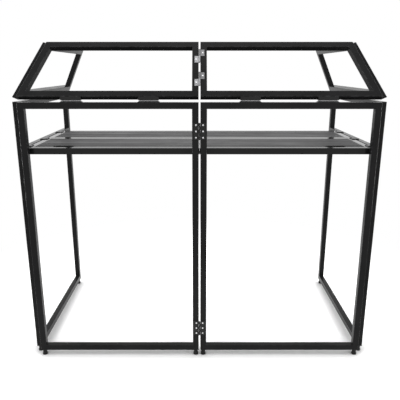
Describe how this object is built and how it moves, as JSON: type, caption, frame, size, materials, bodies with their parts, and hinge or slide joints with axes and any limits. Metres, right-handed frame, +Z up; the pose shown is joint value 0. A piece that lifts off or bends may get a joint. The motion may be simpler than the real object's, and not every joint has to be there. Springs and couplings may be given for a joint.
{
  "type": "folding presentation booth frame",
  "caption": "Folding black tube booth frame on round feet with an inset shelf and a leaning frame section seated on top.",
  "frame": {"origin": "middle of the bounding box on the floor the feet stand on", "axes": "+X along the front towards the right frame, seen from the front; +Y from the front towards the open back; +Z up"},
  "size_m": [1.436, 0.7764, 1.3094],
  "materials": {
    "satin_black": "satin black powder coat",
    "shelf_laminate": "dark grey laminate",
    "foot_rubber": "moulded",
    "pad_grey": "light grey, moulded",
    "bright_zinc": "zinc plated"
  },
  "bodies": {
    "front_left": {"front_frame_left": "satin_black", "centre_hinge_leaves_left": "satin_black", "centre_hinge_pins": "satin_black", "corner_hinge_front_leaves_left": "satin_black", "corner_hinge_pins_left": "satin_black", "front_screws_left": "bright_zinc", "front_feet_left": "foot_rubber", "front_seat_plates_left": "satin_black", "front_seat_pads_left": "pad_grey"},
    "front_right": {"front_frame_right": "satin_black", "centre_hinge_leaves_right": "satin_black", "corner_hinge_front_leaves_right": "satin_black", "corner_hinge_pins_right": "satin_black", "front_screws_right": "bright_zinc", "front_feet_right": "foot_rubber", "front_seat_plates_right": "satin_black", "front_seat_pads_right": "pad_grey"},
    "side_left": {"side_frame_left": "satin_black", "corner_hinge_side_leaves_left": "satin_black", "side_screws_left": "bright_zinc", "side_feet_left": "foot_rubber", "side_seat_plates_left": "satin_black", "side_seat_pads_left": "pad_grey"},
    "side_right": {"side_frame_right": "satin_black", "corner_hinge_side_leaves_right": "satin_black", "side_screws_right": "bright_zinc", "side_feet_right": "foot_rubber", "side_seat_plates_right": "satin_black", "side_seat_pads_right": "pad_grey"},
    "top_front_left": {"top_front_frame_left": "satin_black", "lift_hinge_pin_leaves": "bright_zinc", "lift_hinge_pins": "bright_zinc", "top_corner_front_leaves_left": "satin_black", "top_corner_pins_left": "satin_black", "top_front_screws_left": "bright_zinc", "top_front_wedges_left": "satin_black"},
    "top_front_right": {"top_front_frame_right": "satin_black", "lift_hinge_socket_leaves": "bright_zinc", "top_corner_front_leaves_right": "satin_black", "top_corner_pins_right": "satin_black", "top_front_screws_right": "bright_zinc", "top_front_wedges_right": "satin_black"},
    "top_side_left": {"top_side_frame_left": "satin_black", "top_corner_side_leaves_left": "satin_black", "top_side_screws_left": "bright_zinc", "top_side_wedges_left": "satin_black"},
    "top_side_right": {"top_side_frame_right": "satin_black", "top_corner_side_leaves_right": "satin_black", "top_side_screws_right": "bright_zinc", "top_side_wedges_right": "satin_black"},
    "shelf": {"shelf_boards_left": "shelf_laminate", "shelf_boards_right": "shelf_laminate", "shelf_channels_left": "satin_black", "shelf_channels_right": "satin_black", "shelf_tie_plates": "satin_black", "shelf_hooks_left": "satin_black", "shelf_hooks_right": "satin_black", "shelf_screws": "bright_zinc"}
  },
  "joints": [
    {"name": "centre_fold", "type": "hinge", "parent": "front_left", "child": "front_right", "pos_m": [0, -0.38503, 0.555], "axis": [0, 0, -1], "range_deg": [0, 180]},
    {"name": "left_side_swing", "type": "hinge", "parent": "front_left", "child": "side_left", "pos_m": [-0.6895, -0.35303, 0.555], "axis": [0, 0, 1], "range_deg": [0, 90]},
    {"name": "right_side_swing", "type": "hinge", "parent": "front_right", "child": "side_right", "pos_m": [0.6895, -0.35303, 0.555], "axis": [0, 0, -1], "range_deg": [0, 90]},
    {"name": "shelf_lift", "type": "slide", "parent": "front_left", "child": "shelf", "axis": [0, 0, 1], "range_m": [0, 0.14]},
    {"name": "top_lift", "type": "slide", "parent": "front_left", "child": "top_front_left", "axis": [0, 0, 1], "range_m": [0, 0.3]},
    {"name": "top_centre_fold", "type": "hinge", "parent": "top_front_left", "child": "top_front_right", "pos_m": [0, -0.30942, 1.2129], "axis": [0, -0.5878, -0.809], "range_deg": [0, 180]},
    {"name": "top_left_swing", "type": "hinge", "parent": "top_front_left", "child": "top_side_left", "pos_m": [-0.64598, -0.28509, 1.19194], "axis": [0.329, 0.5551, 0.764], "range_deg": [0, 76]},
    {"name": "top_right_swing", "type": "hinge", "parent": "top_front_right", "child": "top_side_right", "pos_m": [0.64598, -0.28509, 1.19194], "axis": [0.329, -0.5551, -0.764], "range_deg": [0, 76]}
  ]
}
